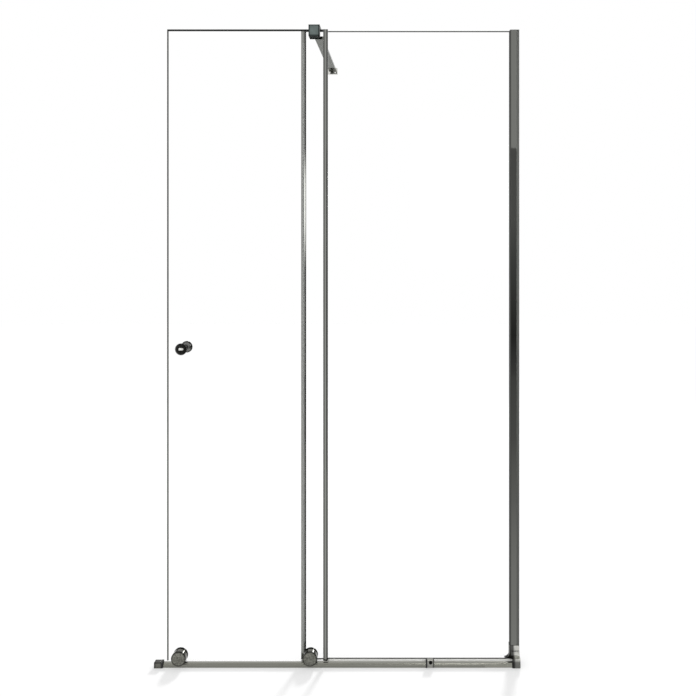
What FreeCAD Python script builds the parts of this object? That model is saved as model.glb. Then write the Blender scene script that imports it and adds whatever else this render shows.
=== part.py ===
import FreeCAD, Part
import math
import os
import re

import Sketcher

# Sliding shower screen: a fixed glass panel held by a wall profile and a bottom rail, and in front
# of it a frameless door that rolls on two grooved wheels along the bead of that rail.
# Millimetres. X runs along the rail towards the wall profile, Y into the shower, Z up.
# The origin lies on the tray, halfway along the rail, in the mid-plane of the door glass.

SIZES = {
    # overall
    "rail_length": "1116",
    "screen_top": "1950",
    "glass_thick": "6",
    "panel_spacing": "20",
    "wall_reach": "510",
    "arris": "0.5",
    # fits: moving pieces, turned seats, glass in its profiles
    "running_gap": "0.3",
    "seat_gap": "0.05",
    "slip_gap": "0.2",
    # bottom rail: a hollow lip with the running bead, and a flat base behind it
    "lip_front": "20",
    "lip_depth": "20",
    "lip_height": "10",
    "lip_round": "1.5",
    "bead_setback": "6",
    "bead_radius": "3",
    "rail_wall": "1.6",
    "base_thick": "2.5",
    "base_back": "12",
    "base_margin": "1",
    "port_bore": "4.2",
    "port_height": "4.5",
    # channel under the fixed panel
    "doorway": "443",
    "channel_width": "11",
    "channel_height": "8",
    "channel_rear_height": "6",
    "channel_slope": "4.5",
    "channel_wall": "1.4",
    "channel_floor": "1.5",
    "block_thick": "2.8",
    "block_length": "60",
    "gasket_lip": "2.4",
    "gasket_depth": "3.5",
    # edge profiles and their sealing fins
    "edge_cover": "15",
    "edge_web": "2",
    "edge_wall": "1.2",
    "edge_crown": "0.7",
    "edge_bevel": "4.5",
    "edge_round": "0.8",
    "door_edge_cover": "14",
    "door_edge_wall": "1",
    "fin_thick": "1.2",
    "fin_base": "6",
    "fin_foot": "1",
    "fin_clear": "0.5",
    "fin_bottom": "60",
    "fin_drop": "40",
    # two-part wall profile
    "profile_reach": "29",
    "profile_strip": "8.5",
    "profile_wall": "1.6",
    "profile_round": "3",
    "wall_half": "10",
    "wall_leg": "2",
    "wall_leg_depth": "26",
    "glass_bite": "18",
    "glaze_gap": "1.5",
    "glaze_depth": "12",
    "glaze_lip": "1",
    "profile_cap": "2.5",
    "profile_cap_round": "1",
    "wall_hole": "5.5",
    "wall_hole_inset": "200",
    "lock_inset": "80",
    "lock_back": "19",
    # cast foot in the corner of rail and wall profile
    "foot_block": "25.6",
    "foot_low": "27",
    "foot_height": "55",
    "foot_side": "14",
    "foot_flare": "14",
    "foot_flare_half": "8",
    "foot_toe": "1.5",
    "foot_nose": "2",
    "foot_corner": "9",
    "foot_sweep": "16",
    "foot_round": "3",
    # stops on the rail
    "stop_front": "24",
    "stop_clear": "0.8",
    "stop_split": "0.4",
    "cap_wall": "4",
    "end_stop_length": "20",
    "end_stop_height": "18",
    "end_buffer": "6",
    "open_buffer": "4",
    "open_stop_place": "827",
    "open_stop_length": "21.6",
    "open_stop_height": "26",
    "jaw_height": "21.5",
    "open_stop_lift": "1",
    "open_stop_round": "2",
    "stop_round": "1",
    # screws, by their radii and heads
    "rail_screw": "2.05",
    "rail_screw_head": "4",
    "rail_screw_cap": "2.4",
    "rail_screw_grip": "18",
    "small_screw": "1.75",
    "small_screw_head": "3.2",
    "small_screw_cap": "1.8",
    "stop_screw": "2.5",
    "stop_screw_head": "5",
    "stop_screw_recess": "0.8",
    "stop_screw_cap": "5",
    "stay_screw": "2",
    "stay_screw_head": "3.5",
    "stay_screw_cap": "4",
    "grub_screw": "2.5",
    "hex_share": "0.5",
    # top guide and glass clamp
    "guide_place": "26",
    "guide_length": "34",
    "guide_step": "5",
    "guide_drop": "23",
    "guide_rise": "12",
    "guide_wall": "10",
    "guide_rear": "8",
    "guide_chamfer": "2",
    "liner_half": "4.5",
    "liner_wall": "1.5",
    "liner_head": "1.5",
    "pad_thick": "1",
    "pad_inset": "2",
    "clamp_spread": "18",
    "clamp_drop": "6",
    # stay bar to the rear wall
    "stay_shift": "28",
    "stay_width": "26",
    "stay_thick": "9",
    "stay_thread": "14",
    "stay_foot_width": "36",
    "stay_foot_height": "22",
    "stay_foot_depth": "16",
    "stay_foot_drop": "11",
    "stay_socket": "10",
    "stay_hole": "5.2",
    "stay_hole_pitch": "20",
    # door
    "door_inset": "34",
    "door_width": "493",
    "door_gap": "13.5",
    "roller_inset": "40",
    "roller_trail": "53",
    "glass_hole": "12",
    "washer_thick": "1",
    # rollers
    "wheel_root": "14.7",
    "wheel_flange": "17",
    "wheel_width": "9",
    "groove_radius": "3.6",
    "bearing_bore": "6",
    "bearing_split": "9",
    "bearing_outer": "19",
    "bearing_width": "6",
    "hub_flange": "15",
    "hub_thick": "3.5",
    "disc_radius": "22.5",
    "disc_gap": "0.5",
    "disc_thick": "4.5",
    "disc_edge": "2",
    "disc_dome": "1",
    "disc_grip": "2.5",
    "rear_disc_thick": "6",
    "housing_step": "0.5",
    "housing_wall": "1.2",
    "housing_clear": "1.5",
    "housing_lift": "0.8",
    "axle_head": "5",
    "axle_head_thick": "4",
    # knob
    "knob_inset": "51",
    "knob_height": "972",
    "knob_radius": "18",
    "knob_neck": "6.5",
    "knob_stem": "20",
    "knob_edge": "3",
    "knob_dome": "13",
    "knob_washer": "8",
    "stud_radius": "3",
    "stud_grip": "17",
}

# Places worked out from the sizes.
PLACES = {
    "wall_face": "rail_length/2",
    "rail_start": "cap_wall - wall_face",
    "rail_end": "wall_face - foot_block",
    "lip_back": "lip_depth - lip_front",
    "bead_middle": "bead_setback - lip_front",
    "bead_top": "lip_height + bead_radius",
    "over_bead": "bead_top + running_gap",
    "wheel_axis": "over_bead + wheel_root",
    "glass_half": "glass_thick/2",
    "fixed_front": "panel_spacing - glass_half",
    "fixed_rear": "panel_spacing + glass_half",
    "fixed_start": "doorway - wall_face",
    "channel_front": "panel_spacing - channel_width/2",
    "channel_rear": "panel_spacing + channel_width/2",
    "channel_top": "base_thick + channel_height",
    "channel_low": "base_thick + channel_rear_height",
    "channel_bed": "base_thick + channel_floor",
    "rail_back": "channel_rear + channel_slope + base_margin",
    "fixed_foot": "channel_bed + block_thick",
    "above_gasket": "channel_top + gasket_lip + running_gap",
    "profile_nose": "wall_face - profile_reach",
    "fixed_end": "profile_nose + glass_bite",
    "profile_half": "wall_half + running_gap + profile_wall",
    "slot_half": "glass_half + glaze_gap",
    "foot_rear": "panel_spacing + foot_side",
    "foot_left": "profile_nose - foot_nose",
    "foot_spread": "foot_left - foot_flare",
    "foot_front": "panel_spacing - foot_side + running_gap",
    "end_stop_face": "end_stop_length - wall_face",
    "stop_rear": "-door_edge_half - stop_clear",
    "stop_seat": "lip_height + slip_gap",
    "open_stop_start": "open_stop_place + open_buffer - wall_face",
    "open_screw_height": "(over_bead + jaw_height)/2",
    "guide_left": "fixed_start + guide_place",
    "guide_low": "screen_top - guide_drop",
    "guide_top": "screen_top + guide_rise",
    "guide_slot": "liner_half + liner_wall",
    "guide_front": "guide_slot + guide_wall",
    "guide_roof": "screen_top + liner_head + liner_wall",
    "clamp_front": "fixed_front - pad_thick",
    "clamp_rear": "fixed_rear + pad_thick",
    "guide_back": "clamp_rear + guide_rear",
    "clamp_length": "guide_length - guide_step",
    "clamp_middle": "guide_left + clamp_length/2",
    "clamp_height": "screen_top - clamp_drop",
    "stay_middle": "guide_left + stay_shift",
    "stay_screw_place": "(stay_middle - stay_width/2 + guide_left + clamp_length)/2",
    "stay_height": "guide_low + stay_thick/2",
    "stay_end": "wall_reach - stay_foot_depth + stay_socket",
    "stay_foot_low": "guide_low - stay_foot_drop",
    "stay_hole_height": "stay_foot_low + stay_foot_drop/2",
    "door_left": "door_inset - wall_face",
    "door_right": "door_left + door_width",
    "door_edge_half": "glass_half + slip_gap + door_edge_wall",
    "door_fin_middle": "door_right - door_edge_cover/2",
    "fixed_edge_front": "fixed_front - slip_gap - edge_wall",
    "fixed_fin_middle": "fixed_start + edge_cover/2",
    "fin_top": "screen_top - fin_drop",
    "knob_place": "door_left + knob_inset",
    "washer_face": "glass_half + washer_thick",
    "wheel_middle": "lip_front - bead_setback",
    "bearing_back": "wheel_middle - bearing_width/2",
    "bearing_front": "wheel_middle + bearing_width/2",
    "disc_back": "lip_front + disc_gap",
    "axle_seat": "bearing_bore/2",
}

# An edge counts as lying at a place within this length.
AT_PLACE = 0.01

AXIS = {"YZ_Plane": "x", "XZ_Plane": "y", "XY_Plane": "z"}
FLAT_AXES = {"YZ_Plane": ("y", "z"), "XZ_Plane": ("x", "z"), "XY_Plane": ("x", "y")}
SIDES = {"left": "door_left + roller_inset", "right": "door_right - roller_trail"}

doc = FreeCAD.newDocument("sliding_shower_screen")
dims = doc.addObject("Spreadsheet::Sheet", "dims")
for row, (alias, size) in enumerate(SIZES.items(), start=1):
    dims.set(f"A{row}", alias.replace("_", " "))
    dims.set(f"B{row}", size)
    dims.setAlias(f"B{row}", alias)
doc.recompute()

placed_at = {}


def expand(text, cell):
    """Write out the places in an expression, with every size as cell(alias)."""

    def swap(match):
        word = match.group(0)
        if word in PLACES:
            return "(" + expand(PLACES[word], cell) + ")"
        if word in SIZES:
            return cell(word)
        return word

    return re.sub(r"[a-z][a-z_]*", swap, text)


def number(text):
    """An expression's value at the sheet's present sizes."""
    return FreeCAD.Units.Quantity(expand(text, lambda alias: repr(float(dims.get(alias))))).Value


def bind(thing, name, text):
    """Tie a property to an expression of the sheet's cells."""
    thing.setExpression(name, expand(text, lambda alias: "dims." + alias))


def new_body(label, x="0", y="0", z="0", tilt=0):
    """A sub-part whose placement is tied to the sizes; tilt turns it about X."""
    made = doc.addObject("PartDesign::Body", label)
    made.Label = label
    made.Placement.Rotation = FreeCAD.Rotation(FreeCAD.Vector(1, 0, 0), tilt)
    for axis, text in zip("xyz", (x, y, z)):
        if text != "0":
            bind(made, "Placement.Base." + axis, text)
    placed_at[label] = {"x": x, "y": y, "z": z}
    return made


def from_body(owner, axis, text):
    """A place in the screen's frame, measured from the owner's own origin."""
    start = placed_at[owner.Label][axis]
    return text if start == "0" else f"({text}) - ({start})"


def sketch_on(owner, role, lift="0"):
    """A sketch on one of the owner's origin planes, lifted along that plane's axis."""
    made = owner.newObject("Sketcher::SketchObject", "outline")
    plane = next(item for item in owner.Origin.OriginFeatures if item.Role == role)
    made.AttachmentSupport = [(plane, "")]
    made.MapMode = "FlatFace"
    if lift != "0":
        bind(made, "AttachmentOffset.Base.z", f"-({lift})" if role == "XZ_Plane" else lift)
    return made


def hold(sketch, item, point, across, up):
    """Hold one point of a sketch at two expressions from the sketch's origin."""
    for kind, axis, text in (("DistanceX", -2, across), ("DistanceY", -1, up)):
        if text == "0":
            sketch.addConstraint(Sketcher.Constraint("PointOnObject", item, point, axis))
            continue
        rule = sketch.addConstraint(Sketcher.Constraint(kind, -1, 1, item, point, number(text)))
        bind(sketch, f"Constraints[{rule}]", text)


def circle(sketch, across, up, radius):
    """A full circle held by its centre and radius."""
    centre = FreeCAD.Vector(number(across), number(up), 0)
    item = sketch.addGeometry(Part.Circle(centre, FreeCAD.Vector(0, 0, 1), number(radius)))
    hold(sketch, item, 3, across, up)
    rule = sketch.addConstraint(Sketcher.Constraint("Radius", item, number(radius)))
    bind(sketch, f"Constraints[{rule}]", radius)


def arc_between(start, end, radius, turn):
    """The shorter arc from start to end, anticlockwise where turn is 1."""
    chord = end - start
    half = chord.Length / 2
    left = FreeCAD.Vector(-chord.y, chord.x, 0).normalize()
    height = math.sqrt(max(radius * radius - half * half, 0))
    centre = (start + end) * 0.5 + left * (turn * height)
    first, last = (start, end) if turn > 0 else (end, start)
    angles = [math.atan2(point.y - centre.y, point.x - centre.x) for point in (first, last)]
    return Part.ArcOfCircle(Part.Circle(centre, FreeCAD.Vector(0, 0, 1), radius), *angles)


def polygon(sketch, corners):
    """A closed outline. A corner (across, up, radius, turn) starts an arc, any other a line."""
    spots = [FreeCAD.Vector(number(corner[0]), number(corner[1]), 0) for corner in corners]
    items = []
    starts = []
    for index, corner in enumerate(corners):
        ends = spots[index], spots[(index + 1) % len(spots)]
        is_arc = len(corner) == 4
        shape = arc_between(*ends, number(corner[2]), corner[3]) if is_arc else Part.LineSegment(*ends)
        items.append(sketch.addGeometry(shape))
        starts.append(2 if is_arc and corner[3] < 0 else 1)
    for index, corner in enumerate(corners):
        after = (index + 1) % len(items)
        joint = (items[index], 3 - starts[index], items[after], starts[after])
        sketch.addConstraint(Sketcher.Constraint("Coincident", *joint))
        hold(sketch, items[index], starts[index], corner[0], corner[1])
        if len(corner) == 4:
            rule = sketch.addConstraint(Sketcher.Constraint("Radius", items[index], number(corner[2])))
            bind(sketch, f"Constraints[{rule}]", corner[2])


def rectangle(left, right, low, high):
    """The four corners between two pairs of edges."""
    return [(left, low), (right, low), (right, high), (left, high)]


def draw(owner, role, lift, shapes):
    """Circles (three texts) and polygons (lists of corners), given in the screen's frame."""
    sketch = sketch_on(owner, role, lift if lift == "0" else from_body(owner, AXIS[role], lift))
    across, up = FLAT_AXES[role]
    for shape in shapes:
        if isinstance(shape, tuple):
            circle(sketch, from_body(owner, across, shape[0]), from_body(owner, up, shape[1]), shape[2])
            continue
        local = [(from_body(owner, across, c[0]), from_body(owner, up, c[1]), *c[2:]) for c in shape]
        polygon(sketch, local)
    return sketch


def add(owner, role, start, length, *shapes):
    """Pad outlines from start along the plane's axis, towards plus."""
    made_on = draw(owner, role, start, shapes)
    made = owner.newObject("PartDesign::Pad", "pad")
    made.Profile = made_on
    made.Reversed = role == "XZ_Plane"
    bind(made, "Length", length)
    return made


def cut(owner, role, start, length, *shapes):
    """Pocket outlines from start along the plane's axis, towards plus."""
    doc.recompute()
    before = owner.Shape.Volume
    made_on = draw(owner, role, start, shapes)
    made = owner.newObject("PartDesign::Pocket", "pocket")
    made.Profile = made_on
    made.Reversed = role != "XZ_Plane"
    bind(made, "Length", length)
    doc.recompute()
    if owner.Shape.Volume >= before:
        raise RuntimeError(f"a pocket of {owner.Label} cuts nothing")
    return made


def extrusion(label, role, start, length, *shapes):
    """A sub-part padded from start along the plane's axis."""
    owner = new_body(label, **{AXIS[role]: start})
    add(owner, role, start, length, *shapes)
    return owner


def turned(label, x, y, z, tilt, *profiles):
    """A sub-part turned about its own Z, from profiles of (radius, height along the axis)."""
    owner = new_body(label, x, y, z, tilt)
    sketch = sketch_on(owner, "XZ_Plane")
    for profile in profiles:
        polygon(sketch, profile)
    made = owner.newObject("PartDesign::Revolution", "turning")
    made.Profile = sketch
    made.ReferenceAxis = (sketch, ["V_Axis"])
    made.Angle = 360
    return owner


def bore_into(owner, start, depth, corners):
    """Pocket one outline into a turned sub-part, from start along its own axis."""
    doc.recompute()
    before = owner.Shape.Volume
    sketch = sketch_on(owner, "XY_Plane", start)
    polygon(sketch, corners)
    made = owner.newObject("PartDesign::Pocket", "pocket")
    made.Profile = sketch
    made.Reversed = True
    bind(made, "Length", depth)
    doc.recompute()
    if owner.Shape.Volume >= before:
        raise RuntimeError(f"a pocket of {owner.Label} cuts nothing")


def soften(owner, kind, size, pick):
    """Fillet or chamfer the edges of the owner that pick accepts."""
    doc.recompute()
    base = owner.Tip
    names = [f"Edge{n}" for n, edge in enumerate(base.Shape.Edges, start=1) if pick(edge)]
    if not names:
        raise RuntimeError(f"no edge of {owner.Label} to soften")
    made = owner.newObject("PartDesign::" + kind, kind.lower())
    made.Base = (base, names)
    bind(made, "Radius" if kind == "Fillet" else "Size", size)


def runs_along(edge, axis):
    """Whether a straight edge is parallel to one axis."""
    if not isinstance(edge.Curve, Part.Line):
        return False
    box = edge.BoundBox
    return all(getattr(box, other + "Length") < AT_PLACE for other in "XYZ".replace(axis.upper(), ""))


def lies_at(edge, axis, text):
    """Whether an edge lies wholly at one place along an axis, in the owner's frame."""
    box = edge.BoundBox
    low, high = getattr(box, axis.upper() + "Min"), getattr(box, axis.upper() + "Max")
    return max(abs(low - number(text)), abs(high - number(text))) < AT_PLACE


def hexagon(across, up, radius):
    """A hexagon about a point, with corners at the radius."""
    turns = [math.radians(60 * step) for step in range(6)]
    arms = [(math.cos(turn), math.sin(turn)) for turn in turns]
    return [(f"{across} + ({radius})*{x:.6f}", f"{up} + ({radius})*{y:.6f}") for x, y in arms]


def screws(label, role, places, seat, head, cap, shank, length, head_plus, socket=True):
    """Cap screws in one plane: heads on one side of the seat, shanks on the other."""
    owner = new_body(label, **{AXIS[role]: seat})
    head_from = seat if head_plus else f"{seat} - ({cap})"
    shank_from = f"{seat} - ({length})" if head_plus else seat
    add(owner, role, head_from, cap, *[(across, up, head) for across, up in places])
    add(owner, role, shank_from, length, *[(across, up, shank) for across, up in places])
    if socket:
        depth = f"({cap})*hex_share"
        socket_from = f"{seat} + ({cap}) - {depth}" if head_plus else head_from
        cut(owner, role, socket_from, depth, *[hexagon(a, u, f"({head})*hex_share") for a, u in places])
    return owner


def bottom_rail():
    """Hollow lip with running bead, screw port and chamber; the base is cut back in the doorway."""
    section = [
        ("-lip_front", "0"),
        ("rail_back", "0"),
        ("rail_back", "base_thick"),
        ("lip_back", "base_thick"),
        ("lip_back", "lip_height"),
        ("-lip_front", "lip_height"),
    ]
    port = ("bead_middle", "port_height", "port_bore/2")
    chamber = rectangle("bead_middle + port_bore/2 + rail_wall", "lip_back - rail_wall",
                        "rail_wall", "lip_height - rail_wall")
    length = "rail_end - rail_start"
    rail = extrusion("bottom_rail", "YZ_Plane", "rail_start", length, section, port, chamber)
    soften(rail, "Fillet", "lip_round", lambda e: runs_along(e, "x") and lies_at(e, "y", "-lip_front")
           and lies_at(e, "z", "lip_height"))
    add(rail, "YZ_Plane", "rail_start", length, ("bead_middle", "lip_height", "bead_radius"))
    doorway = rectangle("rail_start", "fixed_start", "base_back", "rail_back")
    cut(rail, "XY_Plane", "0", "base_thick", doorway)
    tapped = [(across, up, "rail_screw + seat_gap") for across, up in channel_screw_places()]
    cut(rail, "XY_Plane", "0", "base_thick", *tapped)


def channel_screw_places():
    """Three screws along the channel, at a sixth, a half and five sixths of it."""
    return [(f"fixed_start + (rail_end - fixed_start)*{share}/6", "panel_spacing") for share in (1, 3, 5)]


def glass_channel():
    """Channel on the rail that takes the fixed panel's lower edge, with walls that shed water."""
    section = [
        ("channel_front - channel_slope", "base_thick"),
        ("channel_rear + channel_slope", "base_thick"),
        ("channel_rear", "channel_low"),
        ("channel_rear - channel_wall", "channel_low"),
        ("channel_rear - channel_wall", "channel_bed"),
        ("channel_front + channel_wall", "channel_bed"),
        ("channel_front + channel_wall", "channel_top"),
        ("channel_front", "channel_top"),
    ]
    channel = extrusion("glass_channel", "YZ_Plane", "fixed_start", "rail_end - fixed_start", section)
    holes = [(across, up, "rail_screw + slip_gap") for across, up in channel_screw_places()]
    cut(channel, "XY_Plane", "base_thick", "channel_floor", *holes)
    screws("channel_screws", "XY_Plane", channel_screw_places(), "channel_bed", "rail_screw_head",
           "rail_screw_cap", "rail_screw", "channel_floor + base_thick", True)


def setting_blocks():
    """Two packers that carry the fixed glass, between the channel's screws."""
    strips = []
    for share in (2, 4):
        middle = f"fixed_start + (rail_end - fixed_start)*{share}/6"
        strips.append(rectangle(f"{middle} - block_length/2", f"{middle} + block_length/2",
                                "fixed_front", "fixed_rear"))
    extrusion("setting_blocks", "XY_Plane", "channel_bed", "block_thick", *strips)


def channel_gaskets():
    """Strips on both sides of the glass; the front one has a lip over the channel's wall."""
    front = [
        ("channel_front", "channel_top"),
        ("channel_front + channel_wall", "channel_top"),
        ("channel_front + channel_wall", "channel_top - gasket_depth"),
        ("fixed_front", "channel_top - gasket_depth"),
        ("fixed_front", "channel_top + gasket_lip"),
        ("channel_front", "channel_top + gasket_lip"),
    ]
    rear = rectangle("fixed_rear", "channel_rear - channel_wall", "fixed_foot", "channel_low")
    extrusion("channel_gaskets", "YZ_Plane", "fixed_start", "rail_end - fixed_start", front, rear)


def fixed_glass():
    """Toughened panel with arrised edges."""
    panel = rectangle("fixed_start + edge_web + slip_gap", "fixed_end", "fixed_foot", "screen_top")
    glass = extrusion("fixed_glass", "XZ_Plane", "fixed_front", "glass_thick", panel)
    soften(glass, "Chamfer", "arris", lambda edge: True)


def fixed_edge_profile():
    """Slim channel on the fixed panel's free edge, and the fin that meets the door."""
    section = edge_section("fixed_start", "+", "edge_cover", "edge_wall", "panel_spacing")
    profile = extrusion("fixed_edge_profile", "XY_Plane", "above_gasket",
                        "screen_top - above_gasket", section)
    soften(profile, "Fillet", "edge_round",
           lambda e: runs_along(e, "z") and lies_at(e, "x", "fixed_start"))
    fin("fixed_edge_fin", "fixed_fin_middle", "fixed_edge_front", "-fin_foot", "glass_half + fin_clear")


def edge_section(start, way, cover, wall, middle):
    """Channel over a glass edge, from its web towards way along X, each face in three flats."""
    near, far = ("-", "+") if way == "+" else ("+", "-")
    back = "-" if way == "+" else "+"
    web, tip = f"{start} {way} edge_web", f"{start} {way} {cover}"
    inner = "(glass_half + slip_gap)"
    rim = f"(glass_half + slip_gap + {wall} - edge_crown)"
    face = f"(glass_half + slip_gap + {wall})"
    return [
        (start, f"{middle} {near} {rim}"),
        (f"{start} {way} edge_bevel", f"{middle} {near} {face}"),
        (f"{tip} {back} edge_bevel", f"{middle} {near} {face}"),
        (tip, f"{middle} {near} {rim}"),
        (tip, f"{middle} {near} {inner}"),
        (web, f"{middle} {near} {inner}"),
        (web, f"{middle} {far} {inner}"),
        (tip, f"{middle} {far} {inner}"),
        (tip, f"{middle} {far} {rim}"),
        (f"{tip} {back} edge_bevel", f"{middle} {far} {face}"),
        (f"{start} {way} edge_bevel", f"{middle} {far} {face}"),
        (start, f"{middle} {far} {rim}"),
    ]


def fin(label, middle, root, foot, tip):
    """Strip with a flat foot on a profile and a thin blade towards the other panel."""
    blade = [
        (f"{middle} - fin_base/2", root),
        (f"{middle} + fin_base/2", root),
        (f"{middle} + fin_base/2", f"{root} + {foot}"),
        (f"{middle} + fin_thick/2", f"{root} + {foot}"),
        (f"{middle} + fin_thick/2", tip),
        (f"{middle} - fin_thick/2", tip),
        (f"{middle} - fin_thick/2", f"{root} + {foot}"),
        (f"{middle} - fin_base/2", f"{root} + {foot}"),
    ]
    extrusion(label, "XY_Plane", "fin_bottom", "fin_top - fin_bottom", blade)


def lock_screw_places():
    """Three screws up the wall profile's inner side."""
    across = "wall_face - lock_back"
    return [(across, "foot_height + lock_inset"), (across, "(foot_height + screen_top)/2"),
            (across, "screen_top - lock_inset")]


def wall_channel():
    """Channel screwed to the side wall, open towards the glass."""
    low, high = "(panel_spacing - wall_half)", "(panel_spacing + wall_half)"
    section = [
        ("wall_face", low),
        ("wall_face", high),
        ("wall_face - wall_leg_depth", high),
        ("wall_face - wall_leg_depth", f"{high} - wall_leg"),
        ("wall_face - wall_leg", f"{high} - wall_leg"),
        ("wall_face - wall_leg", f"{low} + wall_leg"),
        ("wall_face - wall_leg_depth", f"{low} + wall_leg"),
        ("wall_face - wall_leg_depth", low),
    ]
    channel = extrusion("wall_channel", "XY_Plane", "foot_height", "screen_top - foot_height", section)
    heights = [
        "foot_height + wall_hole_inset",
        "(foot_height + screen_top)/2",
        "screen_top - wall_hole_inset",
    ]
    cut(channel, "YZ_Plane", "wall_face - wall_leg", "wall_leg",
        *[("panel_spacing", height, "wall_hole/2") for height in heights])
    cut(channel, "XZ_Plane", f"{high} - wall_leg", "wall_leg",
        *[(across, up, "small_screw + seat_gap") for across, up in lock_screw_places()])


def glazing_profile():
    """Profile that slides over the wall channel and grips the glass in a pocket of its own."""
    nose, web, deep = "profile_nose", "profile_nose + profile_wall", "fixed_end + slip_gap"
    back = "wall_face - profile_strip"
    half = [
        (back, "profile_half"),
        (nose, "profile_half"),
        (nose, "slot_half"),
        (deep, "slot_half"),
    ]
    inside = [
        (f"{deep} + profile_wall", "slot_half + profile_wall"),
        (web, "slot_half + profile_wall"),
        (web, "profile_half - profile_wall"),
        (back, "profile_half - profile_wall"),
    ]
    upper = [(x, f"panel_spacing + ({y})") for x, y in half]
    lower = [(x, f"panel_spacing - ({y})") for x, y in reversed(half)]
    lower_inside = [(x, f"panel_spacing - ({y})") for x, y in reversed(inside)]
    upper_inside = [(x, f"panel_spacing + ({y})") for x, y in inside]
    profile = extrusion("glazing_profile", "XY_Plane", "foot_height", "screen_top - foot_height",
                        upper + lower + lower_inside + upper_inside)
    soften(profile, "Fillet", "profile_round", is_nose_corner)
    cut(profile, "XZ_Plane", "panel_spacing + profile_half - profile_wall", "profile_wall",
        *[(across, up, "small_screw + slip_gap") for across, up in lock_screw_places()])
    grip = "profile_wall + running_gap + wall_leg"
    screws("profile_lock_screws", "XZ_Plane", lock_screw_places(), "panel_spacing + profile_half",
           "small_screw_head", "small_screw_cap", "small_screw", grip, True)


def is_nose_corner(edge):
    """Whether an edge is one of the two outer corners of the wall profile's nose."""
    if not (runs_along(edge, "z") and lies_at(edge, "x", "profile_nose")):
        return False
    return any(lies_at(edge, "y", f"panel_spacing {sign} profile_half") for sign in "+-")


def glazing_gaskets():
    """Strips pressed between glass and profile, with a lip against the nose."""
    one = [
        ("profile_nose - glaze_lip", "glass_half"),
        ("profile_nose + glaze_depth", "glass_half"),
        ("profile_nose + glaze_depth", "slot_half"),
        ("profile_nose", "slot_half"),
        ("profile_nose", "slot_half + glaze_lip"),
        ("profile_nose - glaze_lip", "slot_half + glaze_lip"),
    ]
    rear = [(x, f"panel_spacing + ({y})") for x, y in one]
    front = [(x, f"panel_spacing - ({y})") for x, y in reversed(one)]
    extrusion("glazing_gaskets", "XY_Plane", "foot_height", "screen_top - foot_height", front, rear)


def wall_profile_cap():
    """Cap that closes the top of the wall profile."""
    plate = rectangle("profile_nose", "wall_face",
                      "panel_spacing - profile_half", "panel_spacing + profile_half")
    cap = extrusion("wall_profile_cap", "XY_Plane", "screen_top", "profile_cap", plate)
    soften(cap, "Fillet", "profile_round", is_nose_corner)
    soften(cap, "Fillet", "profile_cap_round", lambda e: lies_at(e, "z", "profile_cap"))


def corner_foot():
    """Cast foot: a block that closes the rail, sweeping up into a socket under the wall profile."""
    foot = new_body("corner_foot")
    add(foot, "XY_Plane", "0", "foot_low",
        rectangle("rail_end", "wall_face", "-stop_front", "foot_rear"))
    post = [
        ("foot_left", "foot_rear"),
        ("foot_left", "foot_front + foot_corner", "foot_corner", 1),
        ("foot_left + foot_corner", "foot_front"),
        ("wall_face", "foot_front"),
        ("wall_face", "foot_rear"),
    ]
    add(foot, "XY_Plane", "above_gasket", "foot_height - above_gasket", post)
    sweep = [
        ("foot_front + foot_corner", "foot_low"),
        ("foot_front + foot_corner", "foot_low + foot_sweep"),
        ("foot_front", "foot_low + foot_sweep", "foot_sweep", -1),
        ("foot_front - foot_sweep", "foot_low"),
    ]
    add(foot, "YZ_Plane", "rail_end", "foot_block", sweep)
    toe_top = "above_gasket + foot_toe"
    flare = [
        ("foot_spread", "above_gasket"),
        ("foot_left + foot_nose", "above_gasket"),
        ("foot_left + foot_nose", f"{toe_top} + foot_flare"),
        ("foot_left", f"{toe_top} + foot_flare", "foot_flare", -1),
        ("foot_spread", toe_top),
    ]
    add(foot, "XZ_Plane", "panel_spacing - foot_flare_half", "2*foot_flare_half", flare)
    soften(foot, "Fillet", "foot_round", lambda e: lies_at(e, "y", "-stop_front")
           and (runs_along(e, "z") or lies_at(e, "z", "foot_low")))
    slot = rectangle("foot_spread - foot_toe", "fixed_end + slip_gap",
                     "fixed_front - slip_gap", "fixed_rear + slip_gap")
    cut(foot, "XY_Plane", "fixed_foot - slip_gap", "foot_height - fixed_foot + slip_gap", slot)
    port = ("bead_middle", "port_height")
    cut(foot, "YZ_Plane", "rail_end", "foot_block", (*port, "rail_screw + slip_gap"))
    cut(foot, "YZ_Plane", "wall_face - rail_screw_cap", "rail_screw_cap",
        (*port, "rail_screw_head + slip_gap"))
    screws("corner_foot_screw", "YZ_Plane", [port], "wall_face - rail_screw_cap", "rail_screw_head",
           "rail_screw_cap", "rail_screw", "foot_block - rail_screw_cap + rail_screw_grip", True)


def saddle():
    """Section over the rail's lip, with room for the bead, that stays in front of the door."""
    return [
        ("-stop_front", "0"),
        ("-lip_front", "0"),
        ("-lip_front", "stop_seat"),
        ("bead_middle - bead_radius - slip_gap", "stop_seat"),
        ("bead_middle - bead_radius - slip_gap", "over_bead"),
        ("bead_middle + bead_radius + slip_gap", "over_bead"),
        ("bead_middle + bead_radius + slip_gap", "stop_seat"),
        ("stop_rear", "stop_seat"),
        ("stop_rear", "end_stop_height"),
        ("-stop_front", "end_stop_height"),
    ]


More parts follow.
